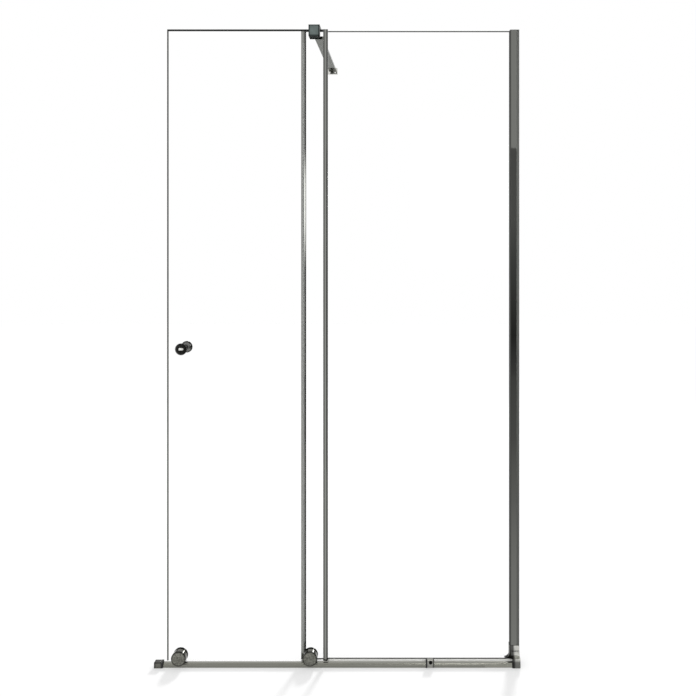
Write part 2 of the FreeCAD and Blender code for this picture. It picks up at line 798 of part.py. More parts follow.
def rail_end_stop():
    """Stop that closes the free end of the rail, with its buffer and the screw into the port."""
    top = "end_stop_height"
    stop = extrusion("rail_end_stop", "YZ_Plane", "-wall_face", "end_stop_length", saddle())
    plate = [
        ("-stop_front", "0"),
        ("lip_back", "0"),
        ("lip_back", "stop_seat"),
        ("stop_rear", "stop_seat"),
        ("stop_rear", top),
        ("-stop_front", top),
    ]
    add(stop, "YZ_Plane", "-wall_face", "cap_wall", plate)
    soften(stop, "Fillet", "stop_round", lambda e: lies_at(e, "z", top))
    port = ("bead_middle", "port_height")
    cut(stop, "YZ_Plane", "-wall_face", "cap_wall", (*port, "rail_screw + slip_gap"))
    cut(stop, "YZ_Plane", "-wall_face", "rail_screw_cap", (*port, "rail_screw_head + slip_gap"))
    extrusion("end_stop_buffer", "YZ_Plane", "end_stop_face", "end_buffer", saddle())
    screws("end_stop_screw", "YZ_Plane", [port], "rail_screw_cap - wall_face", "rail_screw_head",
           "rail_screw_cap", "rail_screw", "cap_wall - rail_screw_cap + rail_screw_grip", False)


def open_stop():
    """Two jaws drawn together on the bead by one cap screw, with a buffer towards the roller."""
    start, length, top = "open_stop_start", "open_stop_length", "open_stop_height"
    place = ("open_stop_start + open_stop_length/2", "open_screw_height")
    front_face, rear_face = "bead_middle - stop_split/2", "bead_middle + stop_split/2"
    front_jaw = [
        ("-stop_front", "open_stop_lift"),
        ("-lip_front", "open_stop_lift"),
        ("-lip_front", "stop_seat"),
        ("bead_middle - bead_radius - seat_gap", "stop_seat"),
        ("bead_middle - bead_radius - seat_gap", "over_bead"),
        (front_face, "over_bead"),
        (front_face, top),
        ("-stop_front", top),
    ]
    block = extrusion("open_stop_block", "YZ_Plane", start, length, front_jaw)
    soften(block, "Fillet", "open_stop_round", lambda e: lies_at(e, "y", "-stop_front"))
    cut(block, "XZ_Plane", "-stop_front", f"stop_front + {front_face}", (*place, "stop_screw + slip_gap"))
    cut(block, "XZ_Plane", "-stop_front", "stop_screw_cap", (*place, "stop_screw_head + stop_screw_recess"))
    rear_jaw = [
        (rear_face, "over_bead"),
        ("bead_middle + bead_radius + seat_gap", "over_bead"),
        ("bead_middle + bead_radius + seat_gap", "stop_seat"),
        ("stop_rear", "stop_seat"),
        ("stop_rear", "jaw_height"),
        (rear_face, "jaw_height"),
    ]
    clamp = extrusion("open_stop_clamp", "YZ_Plane", start, length, rear_jaw)
    cut(clamp, "XZ_Plane", rear_face, f"stop_rear - ({rear_face})", (*place, "stop_screw + seat_gap"))
    extrusion("open_stop_buffer", "YZ_Plane", f"{start} - open_buffer", "open_buffer", front_jaw)
    screws("open_stop_screw", "XZ_Plane", [place], "stop_screw_cap - stop_front", "stop_screw_head",
           "stop_screw_cap", "stop_screw", "stop_front - stop_screw_cap + stop_rear", False)


def clamp_screw_places():
    """Two grub screws beside the middle of the clamp."""
    return [(f"clamp_middle {sign} clamp_spread/2", "clamp_height") for sign in "+-"]


def guide_block():
    """Bridge over both panels' top edges: a lined slot for the door, a clamp on the fixed glass."""
    bridge = [
        ("-guide_front", "guide_low"),
        ("-guide_slot", "guide_low"),
        ("-guide_slot", "guide_roof"),
        ("guide_back", "guide_roof"),
        ("guide_back", "guide_top"),
        ("-guide_front", "guide_top"),
    ]
    block = extrusion("guide_block", "YZ_Plane", "guide_left", "guide_length", bridge)
    add(block, "YZ_Plane", "guide_left", "clamp_length",
        rectangle("guide_slot", "clamp_front", "guide_low", "guide_roof"),
        rectangle("clamp_rear", "guide_back", "guide_low", "guide_roof"))
    soften(block, "Chamfer", "guide_chamfer", lambda e: lies_at(e, "y", "-guide_front"))
    threads = [(across, up, "grub_screw + seat_gap") for across, up in clamp_screw_places()]
    cut(block, "XZ_Plane", "clamp_rear", "guide_rear", *threads)
    place = ("stay_screw_place", "stay_height")
    cut(block, "XZ_Plane", "clamp_rear", "guide_rear", (*place, "stay_screw + slip_gap"))
    cut(block, "XZ_Plane", "clamp_rear", "stay_screw_cap", (*place, "stay_screw_head + slip_gap"))


def guide_liner():
    """Slippery liner in the door's slot."""
    snug = "(guide_slot - seat_gap)"
    section = [
        (f"-{snug}", "guide_low"),
        ("-liner_half", "guide_low"),
        ("-liner_half", "screen_top + liner_head"),
        ("liner_half", "screen_top + liner_head"),
        ("liner_half", "guide_low"),
        (snug, "guide_low"),
        (snug, "guide_roof - seat_gap"),
        (f"-{snug}", "guide_roof - seat_gap"),
    ]
    extrusion("guide_liner", "YZ_Plane", "guide_left", "guide_length", section)


def clamp_set():
    """Rubber pads on both faces of the fixed glass and the grub screws that press them."""
    low, high = "guide_low + pad_inset", "screen_top"
    extrusion("clamp_pads", "YZ_Plane", "guide_left", "clamp_length",
              rectangle("clamp_front", "fixed_front", low, high),
              rectangle("fixed_rear", "clamp_rear", low, high))
    grubs = new_body("clamp_screws", y="clamp_rear")
    add(grubs, "XZ_Plane", "clamp_rear", "guide_rear",
        *[(across, up, "grub_screw") for across, up in clamp_screw_places()])
    cut(grubs, "XZ_Plane", "guide_back - grub_screw", "grub_screw",
        *[hexagon(across, up, "grub_screw*hex_share") for across, up in clamp_screw_places()])


def stay():
    """Flat bar from the clamp to the rear wall, its end screw, and its foot on the wall."""
    half = "stay_width/2"
    bar = extrusion("stay_bar", "XZ_Plane", "guide_back", "stay_end - guide_back",
                    rectangle(f"stay_middle - {half}", f"stay_middle + {half}",
                              "guide_low", "guide_low + stay_thick"))
    soften(bar, "Fillet", "stop_round", lambda e: runs_along(e, "y"))
    place = ("stay_screw_place", "stay_height")
    cut(bar, "XZ_Plane", "guide_back", "stay_thread", (*place, "stay_screw + seat_gap"))
    screws("stay_screw", "XZ_Plane", [place], "clamp_rear + stay_screw_cap", "stay_screw_head",
           "stay_screw_cap", "stay_screw",
           "guide_rear - stay_screw_cap + stay_thread - running_gap", False)
    front = "wall_reach - stay_foot_depth"
    block = rectangle("stay_middle - stay_foot_width/2", "stay_middle + stay_foot_width/2",
                      "stay_foot_low", "stay_foot_low + stay_foot_height")
    foot = extrusion("stay_foot", "XZ_Plane", front, "stay_foot_depth", block)
    soften(foot, "Fillet", "stop_round", lambda e: runs_along(e, "y"))
    socket = rectangle(f"stay_middle - {half} - slip_gap", f"stay_middle + {half} + slip_gap",
                       "guide_low - slip_gap", "guide_low + stay_thick + slip_gap")
    cut(foot, "XZ_Plane", front, "stay_socket", socket)
    holes = [(f"stay_middle {sign} stay_hole_pitch/2", "stay_hole_height", "stay_hole/2") for sign in "+-"]
    cut(foot, "XZ_Plane", front, "stay_foot_depth", *holes)
    grub_place = ("stay_middle", f"{front} + stay_socket/2")
    cut(foot, "XY_Plane", "stay_foot_low", "stay_foot_drop - slip_gap",
        (*grub_place, "grub_screw + seat_gap"))
    grub = extrusion("stay_grub", "XY_Plane", "stay_foot_low", "stay_foot_drop",
                     (*grub_place, "grub_screw"))
    cut(grub, "XY_Plane", "stay_foot_low", "grub_screw", hexagon(*grub_place, "grub_screw*hex_share"))


def door_glass():
    """Toughened door leaf, drilled for the rollers and the knob."""
    leaf = rectangle("door_left", "door_right - edge_web - slip_gap", "door_gap", "screen_top")
    holes = [(place, "wheel_axis", "glass_hole/2") for place in SIDES.values()]
    holes.append(("knob_place", "knob_height", "glass_hole/2"))
    glass = extrusion("door_glass", "XZ_Plane", "-glass_half", "glass_thick", leaf, *holes)
    soften(glass, "Chamfer", "arris", lambda e: isinstance(e.Curve, Part.Line))


def door_edge_profile():
    """Slim channel on the door's trailing edge, and the fin that meets the fixed panel."""
    section = edge_section("door_right", "-", "door_edge_cover", "door_edge_wall", "0")
    profile = extrusion("door_edge_profile", "XY_Plane", "door_gap", "screen_top - door_gap", section)
    soften(profile, "Fillet", "edge_round",
           lambda e: runs_along(e, "z") and lies_at(e, "x", "door_right"))
    fin("door_edge_fin", "door_fin_middle", "door_edge_half", "fin_foot", "fixed_front - fin_clear")


def knob():
    """Two turned knobs on one stud through the glass, with a sleeve and soft washers."""
    bore = "stud_radius + seat_gap"
    flare = "(knob_radius - knob_edge - knob_neck)"
    shoulder = "(washer_face + knob_stem)"
    widest = f"({shoulder} + {flare} + knob_edge)"
    dome = "(knob_radius*knob_radius + knob_dome*knob_dome)/(2*knob_dome)"
    profile = [
        (bore, "washer_face"),
        ("knob_neck", "washer_face"),
        ("knob_neck", shoulder, flare, -1),
        (f"knob_neck + {flare}", f"{shoulder} + {flare}", "knob_edge", 1),
        ("knob_radius", widest, dome, 1),
        ("0", f"{widest} + knob_dome"),
        ("0", "washer_face + stud_grip"),
        (bore, "washer_face + stud_grip"),
    ]
    place = ("knob_place", "0", "knob_height")
    turned("knob_front", *place, 90, profile)
    turned("knob_rear", *place, -90, profile)
    reach = "(washer_face + stud_grip - running_gap)"
    turned("knob_stud", *place, 90, rectangle("0", "stud_radius", f"-{reach}", reach))
    turned("knob_sleeve", *place, 90,
           rectangle(bore, "glass_hole/2 - slip_gap", "-glass_half", "glass_half"))
    turned("knob_washers", *place, 90,
           rectangle(bore, "knob_washer", "glass_half", "washer_face"),
           rectangle(bore, "knob_washer", "-washer_face", "-glass_half"))


def roller(side):
    """One roller: a wheel and outer ring that turn, and the pieces that hold them to the door."""
    place = (SIDES[side], "0", "wheel_axis")
    bore = "axle_seat + seat_gap"
    split = "bearing_split/2"
    flange_face = "(washer_face + hub_thick)"
    disc_front = "(disc_back + disc_thick)"
    crown = "((disc_radius - disc_edge)*(disc_radius - disc_edge) + disc_dome*disc_dome)/(2*disc_dome)"
    hole_end = "disc_back + disc_grip"
    turned(f"{side}_roller_cap", *place, 90, [
        (bore, "bearing_front"),
        (split, "bearing_front"),
        (split, "disc_back"),
        ("disc_radius", "disc_back"),
        ("disc_radius", f"{disc_front} - disc_edge", "disc_edge", 1),
        ("disc_radius - disc_edge", disc_front, crown, 1),
        ("0", f"{disc_front} + disc_dome"),
        ("0", hole_end),
        (bore, hole_end),
    ])
    shell = "(disc_radius - housing_step)"
    housing = turned(f"{side}_roller_housing", *place, 90, [
        (f"{split} + seat_gap", "disc_back - housing_wall"),
        (f"{shell} - housing_wall", "disc_back - housing_wall"),
        (f"{shell} - housing_wall", "glass_half + housing_clear"),
        (shell, "glass_half + housing_clear"),
        (shell, "disc_back"),
        (f"{split} + seat_gap", "disc_back"),
    ])
    mouth = rectangle(f"-{shell}", shell, f"-{shell}", "bead_top + housing_lift - wheel_axis")
    bore_into(housing, "glass_half + housing_clear", "disc_back - glass_half - housing_clear", mouth)
    turned(f"{side}_roller_hub", *place, 90, [
        (bore, "-glass_half + slip_gap"),
        ("glass_hole/2 - slip_gap", "-glass_half + slip_gap"),
        ("glass_hole/2 - slip_gap", "washer_face"),
        ("hub_flange", "washer_face"),
        ("hub_flange", flange_face),
        (split, flange_face),
        (split, "bearing_back"),
        (bore, "bearing_back"),
    ])
    turned(f"{side}_bearing_inner", *place, 90, rectangle(bore, split, "bearing_back", "bearing_front"))
    rear_face = "(washer_face + rear_disc_thick)"
    head_seat = "(washer_face + rear_disc_thick - axle_head_thick)"
    turned(f"{side}_roller_rear_disc", *place, 90, [
        (bore, "-washer_face"),
        (bore, f"-{head_seat}"),
        ("axle_head + slip_gap", f"-{head_seat}"),
        ("axle_head + slip_gap", f"-{rear_face}"),
        ("disc_radius - disc_edge", f"-{rear_face}", "disc_edge", 1),
        ("disc_radius", f"disc_edge - {rear_face}"),
        ("disc_radius", "-washer_face"),
    ])
    axle = turned(f"{side}_roller_axle", *place, 90, [
        ("0", f"-{rear_face}"),
        ("axle_head", f"-{rear_face}"),
        ("axle_head", f"-{head_seat}"),
        ("axle_seat", f"-{head_seat}"),
        ("axle_seat", f"{hole_end} - running_gap"),
        ("0", f"{hole_end} - running_gap"),
    ])
    bore_into(axle, f"-{rear_face}", "axle_head_thick*hex_share", hexagon("0", "0", "axle_head*hex_share"))
    turned(f"{side}_roller_gaskets", *place, 90,
           rectangle("glass_hole/2", "hub_flange", "glass_half", "washer_face"),
           rectangle(bore, "hub_flange", "-washer_face", "-glass_half"))
    low, high = "wheel_middle - wheel_width/2", "wheel_middle + wheel_width/2"
    rise = "(wheel_root + groove_radius - wheel_flange)"
    half = f"sqrt(groove_radius*groove_radius - {rise}*{rise})"
    seat = "bearing_outer/2 + seat_gap"
    turned(f"{side}_wheel", *place, 90, [
        (seat, low),
        ("wheel_flange", low),
        ("wheel_flange", f"wheel_middle - {half}", "groove_radius", -1),
        ("wheel_flange", f"wheel_middle + {half}"),
        ("wheel_flange", high),
        (seat, high),
    ])
    turned(f"{side}_bearing_outer", *place, 90,
           rectangle(f"{split} + seat_gap", "bearing_outer/2", "bearing_back", "bearing_front"))


def export():
    """Check every object of the document, then write one file for each sub-part."""
    doc.recompute()
    for item in doc.Objects:
        if "Invalid" in item.State or "Error" in item.State:
            raise RuntimeError(f"{item.Label} failed: {item.State}")
    os.makedirs("parts", exist_ok=True)
    bodies = [item for item in doc.Objects if item.TypeId == "PartDesign::Body"]
    for item in bodies:
        if item.Shape.isNull() or not item.Shape.isValid() or item.Shape.Volume <= 0:
            raise RuntimeError(f"{item.Label} has no sound solid")
    for item in bodies:
        item.Shape.exportStep(f"parts/{item.Label}.step")
        print(item.Label, len(item.Shape.Solids), round(item.Shape.Volume))


bottom_rail()
glass_channel()
setting_blocks()
channel_gaskets()
fixed_glass()
fixed_edge_profile()
wall_channel()
glazing_profile()
glazing_gaskets()
wall_profile_cap()
corner_foot()
rail_end_stop()
open_stop()
guide_block()
guide_liner()
clamp_set()
stay()
door_glass()
door_edge_profile()
knob()
for side in SIDES:
    roller(side)
export()
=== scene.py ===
import math
from collections import namedtuple

import bpy
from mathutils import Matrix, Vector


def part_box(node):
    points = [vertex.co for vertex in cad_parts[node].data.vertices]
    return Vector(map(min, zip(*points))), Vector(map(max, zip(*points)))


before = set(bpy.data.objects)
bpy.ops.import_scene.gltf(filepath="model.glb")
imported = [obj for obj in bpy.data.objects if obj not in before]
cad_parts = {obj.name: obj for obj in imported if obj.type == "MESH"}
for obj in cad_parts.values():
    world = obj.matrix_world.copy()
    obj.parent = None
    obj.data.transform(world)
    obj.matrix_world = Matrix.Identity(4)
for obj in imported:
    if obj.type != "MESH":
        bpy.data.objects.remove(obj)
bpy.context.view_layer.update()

bl_info = {
    "name": "Sliding shower screen",
    "version": (1, 0, 0),
    "blender": (4, 5, 0),
    "location": "View3D > Sidebar > Shower screen",
    "description": "Finishes the pieces of a sliding shower screen and sets up its studio",
    "category": "Object",
}

MM = 0.001
AXES = ("X", "Y", "Z")
SIDES = ("left", "right")
WHITE = (1.0, 1.0, 1.0)
SENSOR_WIDTH = 36

# Turns that stand a level square across X, Y or Z
QUARTER_TURN = math.pi / 2
PLANE_TURNS = ((0, QUARTER_TURN, 0), (QUARTER_TURN, 0, 0), (0, 0, 0))
# Turn of a lamp or camera that looks straight at the front of the screen
FACING_SCREEN = (QUARTER_TURN, 0, 0)

# The floor lies this far under the screen, so that the two never share a plane
FLOOR_DROP = 0.5 * MM
# Least width over which a strip ends
HAIR = 0.01 * MM
# Where a dark band of the glass starts to clear and where it is clear, as shares of its depth
FADE_START = 0.9
FADE_END = 1.05

# Nearly all of a noise pattern lies between these values
NOISE_LOW = 0.3
NOISE_HIGH = 0.7

# Places of the colour sockets on a Mix node
MIX_SHARE = 0
MIX_FIRST = 6
MIX_SECOND = 7
MIX_RESULT = 2

# Places along a reflector card, in metres, and the glow at each, where 1 is white
FRONT_GLOW = ((0.0, 0.7), (2.31, 0.24))
SIDE_GLOW = ((0.0, 1.0), (2.31, 0.75))
WALL_GLOW = ((0.0, 0.22), (0.4, 0.09), (1.2, 0.25), (1.6, 0.36), (2.31, 0.34))
PANE_GLOW = ((1.1, 1.0), (1.55, 12.0), (1.95, 12.0), (2.31, 1.0))
FLOOR_GLOW = ((-6.0, 0.25), (-3.1, 0.35), (-1.7, 0.57), (-0.8, 0.84), (0.0, 1.0))

# Soft lamps: name, place in metres, turn in radians, and size as a share of the lamp size
LAMPS = (
    ("lamp_left", (-2.2, -2.4, 3.6), (0.7, 0, -0.7), 1.0),
    ("lamp_right", (2.6, 2.0, 3.8), (-0.6, 0, -0.8), 1.0),
    ("lamp_back", (1.3, 4.5, 1.75), (-1.21, 0, -0.3), 0.5),
)

# A strip of metal between two places along an axis, and the share of its tone that it keeps under painted
# shade
Strip = namedtuple("Strip", "start end tone")


def linear(hex_text):
    """Linear RGB of an sRGB colour written as six hex digits."""
    parts = [int(hex_text[at:at + 2], 16) / 255 for at in (0, 2, 4)]
    return tuple(p / 12.92 if p <= 0.04045 else ((p + 0.055) / 1.055) ** 2.4 for p in parts)


def colour(name, hex_text, description):
    """A colour that a user can change, given in sRGB."""
    return bpy.props.FloatVectorProperty(
        name=name, description=description, subtype="COLOR", size=3, min=0, max=1,
        default=linear(hex_text)
    )


def length(name, millimetres, description):
    """A length that a user can change, given in millimetres."""
    return bpy.props.FloatProperty(
        name=name, description=description, subtype="DISTANCE", unit="LENGTH",
        default=millimetres * MM
    )


def angle(name, degrees, description):
    """An angle that a user can change, given in degrees."""
    return bpy.props.FloatProperty(
        name=name, description=description, subtype="ANGLE", unit="ROTATION",
        default=math.radians(degrees)
    )


def share(name, default, description):
    """A share between 0 and 1 that a user can change."""
    return bpy.props.FloatProperty(
        name=name, description=description, subtype="FACTOR", min=0, max=1, default=default
    )


class ScreenFinish(bpy.types.PropertyGroup):
    """Colours and pattern sizes of the screen's finishes."""

    glass: colour("Glass", "FFFFFF", "Clear float glass seen through its thickness")
    glass_sheen: colour("Glass sheen", "404040", "How much of the room the clear faces mirror")
    # The three edge colours below are painted shade in the glass's colour near its edges
    side_edge_shade: colour("Glass side edge", "30312D", "Ground side edge of the glass")
    door_top_shade: colour("Glass top edge", "242524", "Ground top edge of the door glass")
    fixed_top_shade: colour("Fixed glass top edge", "363836", "Ground top edge of the fixed panel")
    upright: colour("Upright profiles", "8C8D89", "Bright anodised aluminium of the edge profiles")
    glazing: colour("Glazing profile", "767773", "Bright anodised aluminium that holds the fixed panel")
    # The wall channel's darker tone is painted shade
    wall_strip: colour("Wall channel", "666764", "Satin anodised aluminium of the channel on the wall")
    rail: colour("Rail", "8C8C84", "Bright anodised aluminium of the bottom rail")
    # The glass channel's paler tone is painted light, standing in for the white room it mirrors
    channel: colour("Glass channel", "D2D2CE", "Satin anodised aluminium under the fixed panel")
    stay: colour("Stay bar", "73766F", "Bright anodised aluminium of the stay bar")
    stay_low: colour("Stay bar, low angle", "CECECE", "Tint of the stay bar's mirror at a low angle")
    end_stop: colour("End stop", "76766F", "Chrome plate on the stop at the rail's end")
    stay_end: colour("Stay foot", "CDCDC7", "Chrome plate on the foot of the stay bar")
    foot: colour("Corner foot", "D2D2CC", "Chrome plate on the corner foot")
    open_stop: colour("Opening stop", "A2A29C", "Chrome plate on the stop that limits the opening")
    guide: colour("Top guide", "6C7674", "Chrome plate on the guide block")
    guide_low: colour("Top guide, low angle", "9A9A9A", "Tint of the block's mirror at a low angle")
    roller: colour("Rollers", "86867E", "Chrome plate on the discs of the rollers")
    # The rims are painted shade at the outlines of the discs and knobs
    rim: colour("Rims", "1A1A18", "Dark rim of the discs and knobs")
    # The housings are the discs' chrome, painted darker as painted shade
    shell: colour("Roller housings", "5E5E58", "Chrome plate on the housings of the rollers")
    # Both knobs are one chrome: the front one is painted dark and the rear one paler, as painted shade
    knob: colour("Front knob", "2A2A29", "Chrome plate on the knob outside")
    knob_rear: colour("Rear knob", "767674", "Chrome plate on the knob inside")
    steel: colour("Stainless steel", "A3A29D", "Stainless steel of the screws and bearings")
    oxide: colour("Black oxide", "1E1E1D", "Black oxide on the screw of the stop")
    rubber: colour("Rubber", "161616", "Black rubber of the buffers, gaskets and pads")
    nylon: colour("Nylon", "E4E2DA", "White nylon of the wheels and setting blocks")
    acetal: colour("Acetal", "1A1B1B", "Black acetal of the top guide's liner")
    vinyl: colour("Vinyl", "A4A6A3", "Milky vinyl of the sealing fins")
    plastic: colour("Grey plastic", "6A6C6A", "Moulded cap of the wall profile")

    # The three bands below are depths to which painted shade darkens the glass's colour
    side_shade_depth: length("Side band", 4, "Depth to which the ground side edges darken the glass")
    door_shade_depth: length("Door top band", 5.5, "Depth to which the door's top edge darkens it")
    fixed_shade_depth: length("Fixed top band", 3, "Depth to which the fixed panel's top edge darkens it")
    # The widths below are of painted shade: the colour darkens over them, and the polish stays as it is
    door_flank: length("Door flank", 4.5, "Width of the duller flanks of the door's edge profile")
    fixed_flank: length("Fixed flank", 6.75, "Width of the duller flank of the fixed edge profile")
    lip: length("Lip", 2, "Width of the dark lip of an edge profile")
    nose: length("Nose", 3.5, "Width of the duller nose of the glazing profile")
    border: length("Border", 4, "Width of the darker border of the guide block and the stops")
    foot_base: length("Foot base", 22, "Height of the duller base of the corner foot")
    foot_dark: share("Foot's dark side", 0.62, "Share of the corner foot's width that is duller")
    rim_shade_width: length("Rim width", 5.5, "Width over which a disc or knob darkens towards its outline")

    # Die lines, turning marks and moulded grain are finer on the real pieces, and drawn coarse to show
    die_line: length("Die line", 1.6, "Spacing of the lines that the die leaves along an extrusion")
    die_run: length("Die run", 400, "Length after which a die line has changed")
    plate_ripple: length("Plate ripple", 14, "Size of the soft ripples in polished plate")
    cast_ripple: length("Cast ripple", 7, "Size of the ripples where plate follows a casting")
    disc_ripple: length("Disc ripple", 5, "Size of the ripples on a pressed disc or a turned knob")
    lathe_line: length("Lathe line", 0.8, "Spacing of the turning marks on steel and acetal")
    rubber_grain: length("Rubber grain", 0.9, "Size of the grain moulded into rubber")
    nylon_cloud: length("Nylon cloud", 6, "Size of the clouds in moulded nylon")
    vinyl_line: length("Vinyl line", 1, "Spacing of the lines along a sealing fin")
    vinyl_run: length("Vinyl run", 200, "Length after which a line of a fin has changed")
    plastic_grain: length("Plastic grain", 0.7, "Size of the grain moulded into the cap")


class ScreenStage(bpy.types.PropertyGroup):
    """Camera, floor and light."""

    camera_place: bpy.props.FloatVectorProperty(
        name="Camera", description="Where the camera stands", subtype="TRANSLATION", unit="LENGTH",
        default=(0.215, -2.6, 1.273)
    )
    lens: bpy.props.FloatProperty(
        name="Lens", description="Focal length on a 36 mm sensor", unit="CAMERA", default=43.79
    )
    shift: bpy.props.FloatVectorProperty(
        name="Shift", description="Lens shift as a share of the frame", size=2,
        default=(-0.0862, -0.1408)
    )
    floor_size: length("Floor size", 24000, "Side of the square floor")
    floor: colour("Floor", "FEFEFE", "Pale matt floor")
    floor_glow: share("Floor glow", 0.35, "Share of the floor that stays white where shadows fall")
    card_top: length("Card top", 2310, "Height of the reflector cards")
    card_away: length("Card distance", 6000, "How far the reflector cards stand from the screen")
    card_reach: length("Card reach", 6500, "Where the reflector cards end, left and right")
    gap_left: length("Gap, left edge", -3000, "Left edge of the bright gap between the cards")
    gap_right: length("Gap, right edge", 1150, "Right edge of the bright gap between the cards")
    pane_width: length("Pane width", 900, "Width of the bright pane at the right edge of the gap")
    floor_edge: length("Floor card, left edge", 450, "Left edge of the card before the wall profile")
    room: bpy.props.FloatProperty(
        name="Room light", description="Strength of the light from all round", default=0.75
    )
    window: bpy.props.FloatProperty(
        name="Window light", description="Strength of the low light from behind", default=2.0
    )
    window_width: angle("Window width", 8, "How wide the low light looks from the screen")
    window_turn: angle("Window turn", 12, "How far the low light stands to the right of straight behind")
    window_height: angle("Window height", 25, "How high the low light stands above the floor")
    lamp: bpy.props.FloatProperty(
        name="Lamp", description="Power of each soft lamp", unit="POWER", default=8
    )
    lamp_size: length("Lamp size", 800, "Side of the larger square lamps")
    box_place: bpy.props.FloatVectorProperty(
        name="Soft box", description="Middle of the soft box that lights the front knob alone",
        subtype="TRANSLATION", unit="LENGTH", default=(-0.3, -1.05, 1.05)
    )
    box_width: length("Soft box width", 1800, "Width of the soft box")
    box_height: length("Soft box height", 800, "Height of the soft box")
    box_power: bpy.props.FloatProperty(
        name="Soft box power", description="Power of the soft box", unit="POWER", default=170
    )


def add_node(owner, kind, inputs=None, **settings):
    """Add one node; inputs maps a socket's name or number to a value or to another node's output."""
    node = owner.node_tree.nodes.new(kind)
    for name, value in settings.items():
        setattr(node, name, value)
    for key, value in (inputs or {}).items():
        if isinstance(value, bpy.types.NodeSocket):
            owner.node_tree.links.new(value, node.inputs[key])
        else:
            node.inputs[key].default_value = value
    return node


def empty_nodes(owner):
    """Give a material or a world an empty set of nodes."""
    owner.use_nodes = True
    owner.node_tree.nodes.clear()
    return owner


def new_material(name, sockets=None):
    """A material and its Object coordinates; sockets are what its shader has the same all over."""
    material = empty_nodes(bpy.data.materials.new(name))
    shader = add_node(material, "ShaderNodeBsdfPrincipled", sockets)
    add_node(material, "ShaderNodeOutputMaterial", {"Surface": shader.outputs[0]})
    place = add_node(material, "ShaderNodeTexCoord").outputs["Object"]
    return material, place


def surface_of(material):
    """The Object coordinates of a material, and the output that colours its shader."""
    nodes = material.node_tree.nodes
    place = nodes["Texture Coordinate"].outputs["Object"]
    tone = nodes["Principled BSDF"].inputs["Base Color"].links[0].from_socket
    return place, tone


def feed(material, socket, output):
    """Link a node's output to a socket of the material's shader."""
    shader = material.node_tree.nodes["Principled BSDF"]
    material.node_tree.links.new(output, shader.inputs[socket])


def with_alpha(rgb):
    """A colour with full opacity, as a socket takes it."""
    return (*rgb, 1.0)


def shade(rgb, factor):
    """A colour made darker or paler by a factor."""
    return [part * factor for part in rgb]


def spread(material, pattern, dark, pale, rough=None, relief=None, height=0.0, patches=None):
    """Let a pattern take a surface from dark to pale, from glossy to rough, and from low to high.

    Rough holds the least and the greatest roughness, relief is the strength of a bump of the given
    height, and patches is the pattern of the colour where it differs from the rest.
    """
    tone = add_node(material, "ShaderNodeMix", {
        MIX_SHARE: patches or pattern, MIX_FIRST: with_alpha(dark), MIX_SECOND: with_alpha(pale),
    }, data_type="RGBA")
    feed(material, "Base Color", tone.outputs[MIX_RESULT])
    if rough:
        gloss = add_node(material, "ShaderNodeMapRange", {
            "Value": pattern, "To Min": rough[0], "To Max": rough[1],
        })
        feed(material, "Roughness", gloss.outputs[0])
    if relief:
        bump = add_node(material, "ShaderNodeBump", {
            "Height": pattern, "Strength": relief, "Distance": height,
        })
        feed(material, "Normal", bump.outputs[0])


def toughened_glass(finish, name, piece, top_edge_shade, top_shade_depth):
    """Clear toughened float glass with ground edges: nothing to see but dark lines round the pane, painted
    shade in its colour.
    """
    glass, place = new_material(name, {
        "Specular Tint": with_alpha(finish.glass_sheen), "Transmission Weight": 1.0, "Roughness": 0.0,
        "IOR": 1.52,
    })
    low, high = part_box(piece)
    spot = add_node(glass, "ShaderNodeSeparateXYZ", {0: place}).outputs
    left = add_node(glass, "ShaderNodeMath", {0: spot["X"], 1: low.x}, operation="SUBTRACT").outputs[0]
    right = add_node(glass, "ShaderNodeMath", {0: high.x, 1: spot["X"]}, operation="SUBTRACT").outputs[0]
    side = add_node(glass, "ShaderNodeMath", {0: left, 1: right}, operation="MINIMUM").outputs[0]
    top = add_node(glass, "ShaderNodeMath", {0: high.z, 1: spot["Z"]}, operation="SUBTRACT").outputs[0]
    tint = with_alpha(finish.glass)
    # Painted shade: each band darkens the glass's colour near an edge
    for depth, band, dark in ((side, finish.side_shade_depth, finish.side_edge_shade), (top, top_shade_depth, top_edge_shade)):
        inside = add_node(glass, "ShaderNodeMapRange", {
            "Value": depth, "From Min": band * FADE_START, "From Max": band * FADE_END,
            "To Min": 1.0, "To Max": 0.0,
        })
        tint = add_node(glass, "ShaderNodeMix", {
            MIX_SHARE: inside.outputs[0], MIX_FIRST: tint, MIX_SECOND: with_alpha(dark),
        }, data_type="RGBA").outputs[MIX_RESULT]
    feed(glass, "Base Color", tint)
    return glass


def bright_aluminium(finish, name, tint, along, dullest=0.2, relief=0.08, grazing=WHITE):
    """Anodised aluminium extrusion: a grey mirror, drawn out into faint lines along the die.

    Dullest is its greatest roughness, and grazing the tint of its mirror at a low angle.
    """
    metal, place = new_material(name, {"Metallic": 1.0, "Specular Tint": with_alpha(grazing)})
    scale = [1 / (finish.die_run if axis == along else finish.die_line) for axis in AXES]
    drawn = add_node(metal, "ShaderNodeMapping", {"Vector": place, "Scale": scale}).outputs[0]
    lines = add_node(metal, "ShaderNodeTexNoise", {"Vector": drawn, "Scale": 1.0, "Detail": 3.0})
    spread(metal, lines.outputs["Fac"], shade(tint, 0.86), tint, rough=(dullest / 2, dullest),
           relief=relief, height=0.1 * MM)
    return metal


def chrome_plate(name, tint, ripple_size, darkest=0.9, grazing=WHITE):
    """Chrome plate over polished castings: a clear mirror, clouded by the ripple of the buffing wheel.

    Darkest is the tone of the clouds as a share of the tint, and grazing the tint at a low angle.
    """
    metal, place = new_material(name, {"Metallic": 1.0, "Specular Tint": with_alpha(grazing)})
    ripple = add_node(metal, "ShaderNodeTexNoise", {
        "Vector": place, "Scale": 1 / ripple_size, "Detail": 1.0,
    })
    height = ripple.outputs["Fac"]
    cloud = add_node(metal, "ShaderNodeMapRange", {
        "Value": height, "From Min": NOISE_LOW, "From Max": NOISE_HIGH,
    })
    spread(metal, height, shade(tint, darkest), tint, rough=(0.03, 0.09),
           relief=0.12, height=0.3 * MM, patches=cloud.outputs[0])
    return metal


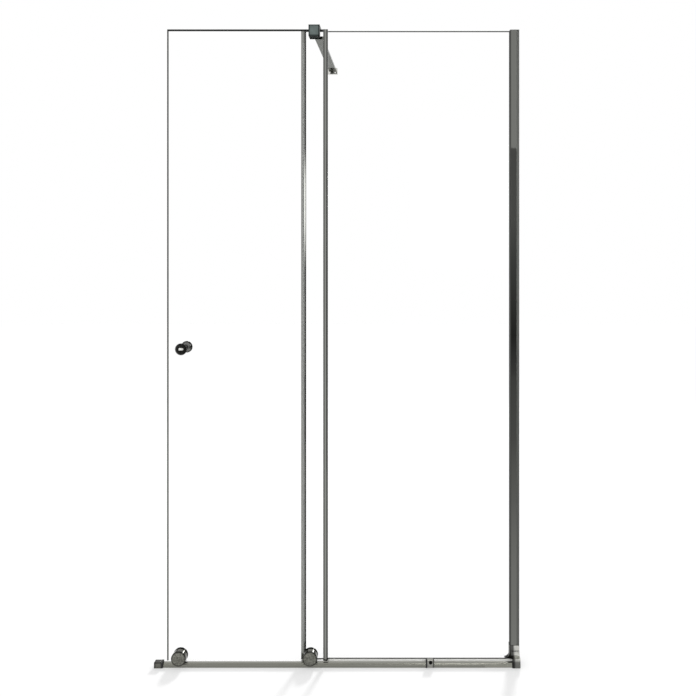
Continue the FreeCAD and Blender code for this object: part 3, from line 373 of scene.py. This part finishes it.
def chrome_disc(finish, name, tint, piece):
    """Chrome plate on a turned piece, with painted shade towards the rim: the colour darkens where the
    edge rolls away.
    """
    low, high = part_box(piece)
    axle = (low + high) / 2
    radius = (high.x - low.x) / 2
    metal = chrome_plate(name, tint, finish.disc_ripple, darkest=0.4)
    place, plate = surface_of(metal)
    # How far a place is from the axle, which runs along Y
    flat = add_node(metal, "ShaderNodeVectorMath", {0: place, 1: (1, 0, 1)}, operation="MULTIPLY")
    away = add_node(metal, "ShaderNodeVectorMath", {0: flat.outputs[0], 1: (axle.x, 0, axle.z)},
                    operation="DISTANCE")
    # Painted shade: the colour darkens towards the outline
    rim = add_node(metal, "ShaderNodeMapRange", {
        "Value": away.outputs["Value"], "From Min": radius - finish.rim_shade_width, "From Max": radius,
    }, interpolation_type="SMOOTHSTEP")
    tone = add_node(metal, "ShaderNodeMix", {
        MIX_SHARE: rim.outputs[0], MIX_FIRST: plate, MIX_SECOND: with_alpha(finish.rim),
    }, data_type="RGBA")
    feed(metal, "Base Color", tone.outputs[MIX_RESULT])
    return metal


def span(piece, axis):
    """The lowest and highest place of a CAD piece along an axis."""
    at = AXES.index(axis)
    low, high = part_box(piece)
    return low[at], high[at]


def borders(piece, axis, width, low_tone=None, high_tone=None):
    """Strips at one or both ends of a piece along an axis, as wide inside the piece as beyond it."""
    ends = zip(span(piece, axis), (low_tone, high_tone))
    return [Strip(end - width, end + width, tone) for end, tone in ends if tone is not None]


def painted_shade_strips(metal, axis, strips, soft=0.0):
    """Strips of painted shade that darken the metal's colour; each fades at both edges over the width
    soft.
    """
    place, tone = surface_of(metal)
    spot = add_node(metal, "ShaderNodeSeparateXYZ", {0: place}).outputs[axis]
    for strip in strips:
        middle = (strip.start + strip.end) / 2
        half = (strip.end - strip.start) / 2
        offset = add_node(metal, "ShaderNodeMath", {0: spot, 1: middle}, operation="SUBTRACT").outputs[0]
        apart = add_node(metal, "ShaderNodeMath", {0: offset}, operation="ABSOLUTE").outputs[0]
        inside = add_node(metal, "ShaderNodeMapRange", {
            "Value": apart, "From Min": half - soft / 2 - HAIR, "From Max": half + soft / 2,
            "To Min": 1.0, "To Max": 0.0,
        }, interpolation_type="SMOOTHSTEP")
        tone = add_node(metal, "ShaderNodeMix", {
            MIX_SHARE: inside.outputs[0], MIX_FIRST: tone, MIX_SECOND: with_alpha([strip.tone] * 3),
        }, data_type="RGBA", blend_type="MULTIPLY").outputs[MIX_RESULT]
    feed(metal, "Base Color", tone)
    return metal


def bare_steel(finish, name, tint):
    """Machined steel: duller than chrome, with fine marks left by the tool."""
    metal, place = new_material(name, {"Metallic": 1.0})
    marks = add_node(metal, "ShaderNodeTexNoise", {
        "Vector": place, "Scale": 1 / finish.lathe_line, "Detail": 3.0,
    })
    spread(metal, marks.outputs["Fac"], shade(tint, 0.8), tint, rough=(0.2, 0.38))
    return metal


def black_rubber(finish):
    """Moulded black rubber: dull and slightly grained, greyer where it has been rubbed."""
    rubber, place = new_material("black_rubber")
    grain = add_node(rubber, "ShaderNodeTexNoise", {
        "Vector": place, "Scale": 1 / finish.rubber_grain, "Detail": 4.0,
    })
    spread(rubber, grain.outputs["Fac"], finish.rubber, shade(finish.rubber, 2.2), rough=(0.5, 0.75),
           relief=0.3, height=0.1 * MM)
    return rubber


def white_nylon(finish):
    """Moulded nylon: creamy white and waxy, with soft clouds."""
    nylon, place = new_material("white_nylon", {"Roughness": 0.42, "IOR": 1.53})
    cloud = add_node(nylon, "ShaderNodeTexNoise", {
        "Vector": place, "Scale": 1 / finish.nylon_cloud, "Detail": 2.0,
    })
    spread(nylon, cloud.outputs["Fac"], shade(finish.nylon, 0.9), finish.nylon)
    return nylon


def black_acetal(finish):
    """Machined acetal: black and slippery, with a faint silkiness from the cutter."""
    acetal, place = new_material("black_acetal", {"IOR": 1.48})
    silk = add_node(acetal, "ShaderNodeTexNoise", {
        "Vector": place, "Scale": 1 / finish.lathe_line, "Detail": 2.0,
    })
    spread(acetal, silk.outputs["Fac"], finish.acetal, shade(finish.acetal, 1.8), rough=(0.3, 0.45))
    return acetal


def clear_vinyl(finish):
    """Extruded soft vinyl: milky and grey, as if metal showed through, with faint lines along it."""
    vinyl, place = new_material("clear_vinyl", {"IOR": 1.5})
    scale = [1 / finish.vinyl_line, 1 / finish.vinyl_line, 1 / finish.vinyl_run]
    drawn = add_node(vinyl, "ShaderNodeMapping", {"Vector": place, "Scale": scale}).outputs[0]
    lines = add_node(vinyl, "ShaderNodeTexNoise", {"Vector": drawn, "Scale": 1.0, "Detail": 2.0})
    spread(vinyl, lines.outputs["Fac"], shade(finish.vinyl, 0.94), finish.vinyl, rough=(0.3, 0.45))
    return vinyl


def grey_plastic(finish):
    """Moulded grey plastic: satin, with a fine spark-eroded grain."""
    plastic, place = new_material("grey_plastic", {"Roughness": 0.5})
    grain = add_node(plastic, "ShaderNodeTexNoise", {
        "Vector": place, "Scale": 1 / finish.plastic_grain, "Detail": 2.0,
    })
    spread(plastic, grain.outputs["Fac"], shade(finish.plastic, 0.85), finish.plastic,
           relief=0.2, height=0.05 * MM)
    return plastic


def finish_nodes(material, *names):
    """Give CAD pieces one material, in place of what the import gave them."""
    for name in names:
        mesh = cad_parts[name].data
        mesh.materials.clear()
        mesh.materials.append(material)


class SCREEN_OT_glass(bpy.types.Operator):
    """Finish the door leaf and the fixed panel in clear toughened glass"""

    bl_idname = "shower_screen.glass"
    bl_label = "Glass"

    def execute(self, context):
        finish = context.scene.shower_finish
        for name, top_edge_shade, band in (("door_glass", finish.door_top_shade, finish.door_shade_depth),
                                       ("fixed_glass", finish.fixed_top_shade, finish.fixed_shade_depth)):
            finish_nodes(toughened_glass(finish, f"toughened_{name}", name, top_edge_shade, band), name)
            # Light passes a clear pane, so it casts no shadow and stays out of mirrors
            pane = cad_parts[name]
            pane.visible_shadow = False
            pane.visible_glossy = False
            pane.visible_diffuse = False
        return {"FINISHED"}


class SCREEN_OT_profiles(bpy.types.Operator):
    """Finish the rail, channels, profiles and stay bar in aluminium, and the profile's cap in plastic"""

    bl_idname = "shower_screen.profiles"
    bl_label = "Profiles"

    def execute(self, context):
        finish = context.scene.shower_finish
        self.fixed_edge(finish)
        self.door_edge(finish)
        self.wall_profile(finish)
        self.lying_profiles(finish)
        return {"FINISHED"}

    def fixed_edge(self, finish):
        """Edge profile of the fixed panel: a bright face, and a flank of painted shade that ends in a
        darker painted line at the edge.
        """
        metal = bright_aluminium(finish, "bright_aluminium_fixed_edge", finish.upright, "Z",
                                 dullest=0.06, relief=0.006)
        right = span("fixed_edge_profile", "X")[1]
        flank = Strip(right - finish.fixed_flank, right, tone=0.45)
        lip = Strip(right - finish.lip, right, tone=0.08)
        finish_nodes(painted_shade_strips(metal, "X", [flank, lip]), "fixed_edge_profile")

    def door_edge(self, finish):
        """Edge profile of the door: a bright middle between flanks of painted shade, and a darker painted
        line at the right edge.
        """
        metal = bright_aluminium(finish, "bright_aluminium_door_edge", finish.upright, "Z",
                                 dullest=0.06, relief=0.006)
        left, right = span("door_edge_profile", "X")
        left_flank = Strip(left, left + finish.door_flank, tone=0.45)
        right_flank = Strip(right - finish.door_flank, right, tone=0.3)
        lip = Strip(right - finish.lip, right, tone=0.25)
        finish_nodes(painted_shade_strips(metal, "X", [left_flank, right_flank, lip]), "door_edge_profile")

    def wall_profile(self, finish):
        """A clear mirror with a nose of painted shade, the satin channel behind it painted darker, and the
        cap on both.
        """
        glazing = bright_aluminium(finish, "bright_aluminium_glazing", finish.glazing, "Z",
                                   dullest=0.03, relief=0.02)
        left = span("glazing_profile", "X")[0]
        nose = Strip(left, left + finish.nose, tone=0.4)
        finish_nodes(painted_shade_strips(glazing, "X", [nose]), "glazing_profile")
        # Painted shade: the wall channel is coloured darker than the other aluminium
        channel = bright_aluminium(finish, "satin_aluminium_wall_painted_dark", finish.wall_strip, "Z", dullest=0.6)
        finish_nodes(channel, "wall_channel")
        finish_nodes(grey_plastic(finish), "wall_profile_cap")

    def lying_profiles(self, finish):
        """The rail, the channel that carries the fixed panel, and the stay bar."""
        rail = bright_aluminium(finish, "bright_aluminium_rail", finish.rail, "X")
        finish_nodes(rail, "bottom_rail")
        # Painted light: the glass channel is coloured paler than the rail
        channel = bright_aluminium(finish, "satin_aluminium_channel_painted_pale", finish.channel, "X", dullest=0.5)
        finish_nodes(channel, "glass_channel")
        stay = bright_aluminium(finish, "bright_aluminium_stay", finish.stay, "Y",
                                dullest=0.1, relief=0.01, grazing=finish.stay_low)
        finish_nodes(stay, "stay_bar")


class SCREEN_OT_castings(bpy.types.Operator):
    """Finish the feet, the stops, the guide block, the knobs and the rollers' shells in chrome plate"""

    bl_idname = "shower_screen.castings"
    bl_label = "Castings"

    def execute(self, context):
        finish = context.scene.shower_finish
        self.stops(finish)
        self.feet(finish)
        self.guide(finish)
        self.knobs(finish)
        self.rollers(finish)
        return {"FINISHED"}

    def stops(self, finish):
        """Stops of the rail, with painted shade along the edges that turn away from the light."""
        width = finish.border
        end = chrome_plate("chrome_plate_end_stop", finish.end_stop, finish.cast_ripple, darkest=0.75)
        painted_shade_strips(end, "X", borders("rail_end_stop", "X", width, low_tone=0.3), soft=width)
        painted_shade_strips(end, "Z", borders("rail_end_stop", "Z", width, high_tone=0.35), soft=width)
        finish_nodes(end, "rail_end_stop")
        opening = chrome_plate("chrome_plate_open_stop", finish.open_stop, finish.cast_ripple,
                               darkest=0.75)
        painted_shade_strips(opening, "X", borders("open_stop_block", "X", width, high_tone=0.25), soft=width)
        finish_nodes(opening, "open_stop_block", "open_stop_clamp")

    def feet(self, finish):
        """The stay bar's foot, and the corner foot with painted shade on its base and on its side towards
        the rail.
        """
        stay_foot = chrome_plate("chrome_plate_stay_foot", finish.stay_end, finish.plate_ripple)
        finish_nodes(stay_foot, "stay_foot")
        base = finish.foot_base
        foot = chrome_plate("chrome_plate_foot", finish.foot, finish.plate_ripple, darkest=0.7)
        left, right = span("corner_foot", "X")
        dark_side = Strip(left - base, left + finish.foot_dark * (right - left), tone=0.15)
        painted_shade_strips(foot, "X", [dark_side], soft=base / 3)
        painted_shade_strips(foot, "Z", borders("corner_foot", "Z", base, low_tone=0.25), soft=base / 2)
        finish_nodes(foot, "corner_foot")

    def guide(self, finish):
        """The guide block, with painted shade in a band all round its edges."""
        width = finish.border
        block = chrome_plate("chrome_plate_guide", finish.guide, finish.plate_ripple, darkest=0.8,
                             grazing=finish.guide_low)
        sides = borders("guide_block", "X", width, low_tone=0.3, high_tone=0.2)
        painted_shade_strips(block, "X", sides, soft=width)
        ends = borders("guide_block", "Z", width, low_tone=0.3, high_tone=0.45)
        painted_shade_strips(block, "Z", ends, soft=width)
        finish_nodes(block, "guide_block")

    def knobs(self, finish):
        """One chrome on both knobs, painted dark outside and paler inside as painted shade."""
        front = chrome_disc(finish, "chrome_plate_front_knob_painted_dark", finish.knob, "knob_front")
        finish_nodes(front, "knob_front")
        rear = chrome_disc(finish, "chrome_plate_rear_knob", finish.knob_rear, "knob_rear")
        finish_nodes(rear, "knob_rear")

    def rollers(self, finish):
        """Discs with rims of painted shade, and the shells between them in the same chrome painted darker.
        """
        shell = chrome_plate("chrome_plate_housings_painted_dark", finish.shell, finish.plate_ripple)
        for side in SIDES:
            disc = chrome_disc(finish, f"chrome_plate_{side}_discs", finish.roller, f"{side}_roller_cap")
            finish_nodes(disc, f"{side}_roller_cap", f"{side}_roller_rear_disc")
            finish_nodes(shell, f"{side}_roller_housing", f"{side}_roller_hub")


class SCREEN_OT_fasteners(bpy.types.Operator):
    """Finish the screws, axles, bearings and the knob's stud in steel"""

    bl_idname = "shower_screen.fasteners"
    bl_label = "Fasteners"

    def execute(self, context):
        finish = context.scene.shower_finish
        finish_nodes(bare_steel(finish, "black_oxide_steel", finish.oxide), "open_stop_screw")
        steel = bare_steel(finish, "stainless_steel", finish.steel)
        finish_nodes(steel, "channel_screws", "profile_lock_screws", "corner_foot_screw",
                     "end_stop_screw", "clamp_screws", "stay_screw", "stay_grub", "knob_stud")
        for side in SIDES:
            finish_nodes(steel, f"{side}_roller_axle", f"{side}_bearing_inner", f"{side}_bearing_outer")
        return {"FINISHED"}


class SCREEN_OT_seals(bpy.types.Operator):
    """Finish the rubber, nylon, acetal and vinyl pieces"""

    bl_idname = "shower_screen.seals"
    bl_label = "Seals and wheels"

    def execute(self, context):
        finish = context.scene.shower_finish
        finish_nodes(black_rubber(finish), "channel_gaskets", "glazing_gaskets", "end_stop_buffer",
                     "open_stop_buffer", "clamp_pads", "knob_washers", "left_roller_gaskets",
                     "right_roller_gaskets")
        finish_nodes(white_nylon(finish), "setting_blocks", "knob_sleeve", "left_wheel", "right_wheel")
        finish_nodes(black_acetal(finish), "guide_liner")
        finish_nodes(clear_vinyl(finish), "fixed_edge_fin", "door_edge_fin")
        return {"FINISHED"}


def seen_ray(owner):
    """1 for rays from the camera, from gloss and through glass, which all see the white studio."""
    path = add_node(owner, "ShaderNodeLightPath").outputs
    either = add_node(owner, "ShaderNodeMath", {0: path["Is Camera Ray"], 1: path["Is Glossy Ray"]},
                      operation="MAXIMUM").outputs[0]
    return add_node(owner, "ShaderNodeMath", {0: either, 1: path["Is Transmission Ray"]},
                    operation="MAXIMUM").outputs[0]


def studio_floor(stage):
    """Matt pale floor: white to the eye, with the soft shadow of what stands on it."""
    floor = empty_nodes(bpy.data.materials.new("pale_floor"))
    matt = add_node(floor, "ShaderNodeBsdfDiffuse", {"Color": with_alpha(stage.floor)})
    white = add_node(floor, "ShaderNodeEmission", {"Color": with_alpha(WHITE), "Strength": 1.0})
    glow = add_node(floor, "ShaderNodeMath", {0: seen_ray(floor), 1: stage.floor_glow},
                    operation="MULTIPLY")
    both = add_node(floor, "ShaderNodeMixShader", {
        0: glow.outputs[0], 1: matt.outputs[0], 2: white.outputs[0],
    })
    add_node(floor, "ShaderNodeOutputMaterial", {"Surface": both.outputs[0]})
    return floor


def studio_card(name, axis, tones):
    """Reflector card that only gloss mirrors; tones are places along an axis and the glow at each."""
    card = empty_nodes(bpy.data.materials.new(name))
    place = add_node(card, "ShaderNodeTexCoord").outputs["Object"]
    spot = add_node(card, "ShaderNodeSeparateXYZ", {0: place}).outputs[axis]
    glow = tones[0][1]
    for (low, before), (high, after) in zip(tones, tones[1:]):
        rise = add_node(card, "ShaderNodeMapRange", {
            "Value": spot, "From Min": low, "From Max": high, "To Min": 0.0, "To Max": after - before,
        })
        glow = add_node(card, "ShaderNodeMath", {0: glow, 1: rise.outputs[0]}, operation="ADD").outputs[0]
    lit = add_node(card, "ShaderNodeEmission", {"Color": with_alpha(WHITE), "Strength": glow})
    add_node(card, "ShaderNodeOutputMaterial", {"Surface": lit.outputs[0]})
    return card


def add_plane(name, low, high, material):
    """A flat stage piece between two corners that share one coordinate."""
    bpy.ops.object.select_all(action="DESELECT")
    middle = [(a + b) / 2 for a, b in zip(low, high)]
    spans = [b - a for a, b in zip(low, high)]
    bpy.ops.mesh.primitive_plane_add(size=1, rotation=PLANE_TURNS[spans.index(0)])
    plane = bpy.context.object
    plane.name = name
    # The turn goes into the mesh first, so that the scale follows the room's axes, with 1 across the plane
    bpy.ops.object.transform_apply(location=True, rotation=True, scale=True)
    plane.scale = [across or 1 for across in spans]
    plane.location = middle
    bpy.ops.object.transform_apply(location=True, rotation=True, scale=True)
    plane.data.materials.append(material)
    return plane


class SCREEN_OT_stage(bpy.types.Operator):
    """Set up the floor, the reflector cards, the light and the camera"""

    bl_idname = "shower_screen.stage"
    bl_label = "Stage"

    def execute(self, context):
        scene = context.scene
        stage = scene.shower_stage
        scene.view_settings.view_transform = "Standard"
        half = stage.floor_size / 2
        add_plane("floor", (-half, -half, -FLOOR_DROP), (half, half, -FLOOR_DROP), studio_floor(stage))
        self.cards(stage)
        self.room(scene, stage)
        self.window(scene, stage)
        self.lamps(scene, stage)
        self.soft_box(scene, stage)
        self.camera(scene, stage)
        return {"FINISHED"}

    def cards(self, stage):
        """Cards all round for polished metal to mirror, with a bright gap in front and behind."""
        front = studio_card("grey_card", "Z", FRONT_GLOW)
        side = studio_card("side_card", "Z", SIDE_GLOW)
        wall = studio_card("wall_card", "Z", WALL_GLOW)
        pane = studio_card("window_pane", "Z", PANE_GLOW)
        floor = studio_card("floor_card", "Y", FLOOR_GLOW)
        away = stage.card_away
        reach = stage.card_reach
        top = stage.card_top
        left = stage.gap_left
        right = stage.gap_right
        pane_left = right - stage.pane_width
        pane_foot = PANE_GLOW[0][0]
        boards = {
            "card_front_left": ((-reach, -away, 0), (left, -away, top), front),
            "card_front_right": ((right, -away, 0), (reach, -away, top), wall),
            "card_pane": ((pane_left, -away, pane_foot), (right, -away, top), pane),
            "card_back_left": ((-reach, away, 0), (left, away, top), front),
            "card_back_right": ((right, away, 0), (reach, away, top), front),
            "card_left": ((-reach, -away, 0), (-reach, away, top), side),
            "card_right": ((reach, -away, 0), (reach, away, top), side),
            "card_floor": ((stage.floor_edge, -away, 0), (reach, 0, 0), floor),
        }
        for name, (low, high, card) in boards.items():
            board = add_plane(name, low, high, card)
            board.visible_camera = False
            board.visible_diffuse = False
            board.visible_transmission = False
            board.visible_shadow = False

    def room(self, scene, stage):
        """White all round to the eye, and a softer white as the light of the room."""
        world = empty_nodes(bpy.data.worlds.new("studio"))
        strength = add_node(world, "ShaderNodeMapRange", {
            "Value": seen_ray(world), "To Min": stage.room, "To Max": 1.0,
        })
        sky = add_node(world, "ShaderNodeBackground", {
            "Color": with_alpha(WHITE), "Strength": strength.outputs[0],
        })
        add_node(world, "ShaderNodeOutputWorld", {"Surface": sky.outputs[0]})
        scene.world = world

    def window(self, scene, stage):
        """A low light from behind, which throws the shadows forward."""
        data = bpy.data.lights.new("window", "SUN")
        data.energy = stage.window
        data.angle = stage.window_width
        window = bpy.data.objects.new("window", data)
        window.rotation_euler = (stage.window_height - QUARTER_TURN, 0, -stage.window_turn)
        window.visible_glossy = False
        scene.collection.objects.link(window)

    def lamps(self, scene, stage):
        """Soft lamps that shade the matt pieces."""
        for name, place, turn, size in LAMPS:
            data = bpy.data.lights.new(name, "AREA")
            data.shape = "SQUARE"
            data.size = stage.lamp_size * size
            data.energy = stage.lamp
            lamp = bpy.data.objects.new(name, data)
            lamp.location = place
            lamp.rotation_euler = turn
            scene.collection.objects.link(lamp)

    def soft_box(self, scene, stage):
        """A broad lamp whose light and mirror image fall on the front knob alone."""
        data = bpy.data.lights.new("soft_box", "AREA")
        data.shape = "RECTANGLE"
        data.size = stage.box_width
        data.size_y = stage.box_height
        data.energy = stage.box_power
        lamp = bpy.data.objects.new("soft_box", data)
        lamp.location = stage.box_place
        lamp.rotation_euler = FACING_SCREEN
        scene.collection.objects.link(lamp)
        lit = bpy.data.collections.new("soft_box_lights")
        lit.objects.link(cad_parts["knob_front"])
        lamp.light_linking.receiver_collection = lit

    def camera(self, scene, stage):
        """Square to the screen, with the lens shifted to frame it."""
        data = bpy.data.cameras.new("camera")
        data.sensor_width = SENSOR_WIDTH
        data.lens = stage.lens
        data.shift_x, data.shift_y = stage.shift
        camera = bpy.data.objects.new("camera", data)
        camera.location = stage.camera_place
        camera.rotation_euler = FACING_SCREEN
        scene.collection.objects.link(camera)
        scene.camera = camera


STEPS = (SCREEN_OT_glass, SCREEN_OT_profiles, SCREEN_OT_castings, SCREEN_OT_fasteners, SCREEN_OT_seals,
         SCREEN_OT_stage)


class SCREEN_PT_sidebar(bpy.types.Panel):
    """Lists the screen's finishing steps"""

    bl_idname = "SCREEN_PT_sidebar"
    bl_label = "Shower screen"
    bl_space_type = "VIEW_3D"
    bl_region_type = "UI"
    bl_category = "Shower screen"

    def draw(self, context):
        for step in STEPS:
            self.layout.operator(step.bl_idname)


CLASSES = (ScreenFinish, ScreenStage, *STEPS, SCREEN_PT_sidebar)


def register():
    """Make the settings, the steps and the panel known to Blender."""
    for item in CLASSES:
        bpy.utils.register_class(item)
    bpy.types.Scene.shower_finish = bpy.props.PointerProperty(type=ScreenFinish)
    bpy.types.Scene.shower_stage = bpy.props.PointerProperty(type=ScreenStage)


def unregister():
    """Take the settings, the steps and the panel out again."""
    del bpy.types.Scene.shower_stage
    del bpy.types.Scene.shower_finish
    for item in reversed(CLASSES):
        bpy.utils.unregister_class(item)


def main():
    """Finish the screen and set up the stage."""
    register()
    bpy.ops.object.select_all(action="DESELECT")
    bpy.ops.shower_screen.glass()
    bpy.ops.shower_screen.profiles()
    bpy.ops.shower_screen.castings()
    bpy.ops.shower_screen.fasteners()
    bpy.ops.shower_screen.seals()
    bpy.ops.shower_screen.stage()


if __name__ == "__main__":
    main()
